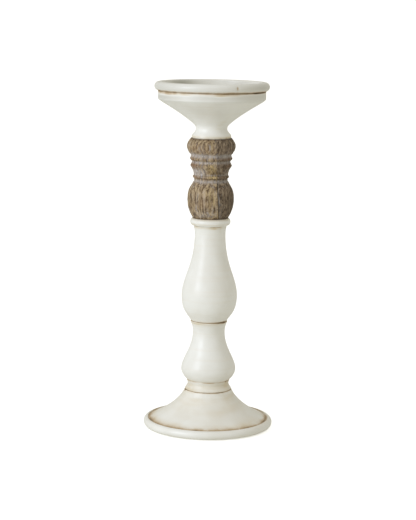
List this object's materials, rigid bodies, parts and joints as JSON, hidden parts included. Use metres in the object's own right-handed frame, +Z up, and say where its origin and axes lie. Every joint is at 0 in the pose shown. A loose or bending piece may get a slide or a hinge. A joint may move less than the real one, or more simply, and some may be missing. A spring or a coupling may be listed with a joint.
{
  "type": "pillar candlestick",
  "caption": "Turned wooden pillar candlestick: whitewashed baluster column on a round base, bare wood collar, and a wide dished cup for a pillar candle.",
  "frame": {"origin": "under the middle of the felt disc, on the surface the candlestick stands on", "axes": "+Z up along the turned axis; +X towards the narrow glued block of the wood collar"},
  "size_m": [0.1346, 0.1346, 0.36],
  "materials": {
    "white_paint": "chalky off-white antique paint on turned wood, satin, with brown wash left in the grooves",
    "washed_wood": "bare brushed wood with open grain and a grey lime wash in the coves",
    "darker_wood": "bare brushed wood of a darker, greyer block with a lime wash",
    "plated_steel": "zinc plated",
    "felt": "dark grey pressed felt"
  },
  "bodies": {
    "root": {"base": "white_paint", "base_felt": "felt", "lower_baluster": "white_paint", "upper_baluster": "white_paint", "collar_wide_block": "washed_wood", "collar_narrow_block": "darker_wood", "candle_cup": "white_paint", "tie_rod": "plated_steel", "cup_insert": "plated_steel", "rod_washer": "plated_steel", "rod_nut": "plated_steel"}
  },
  "joints": []
}
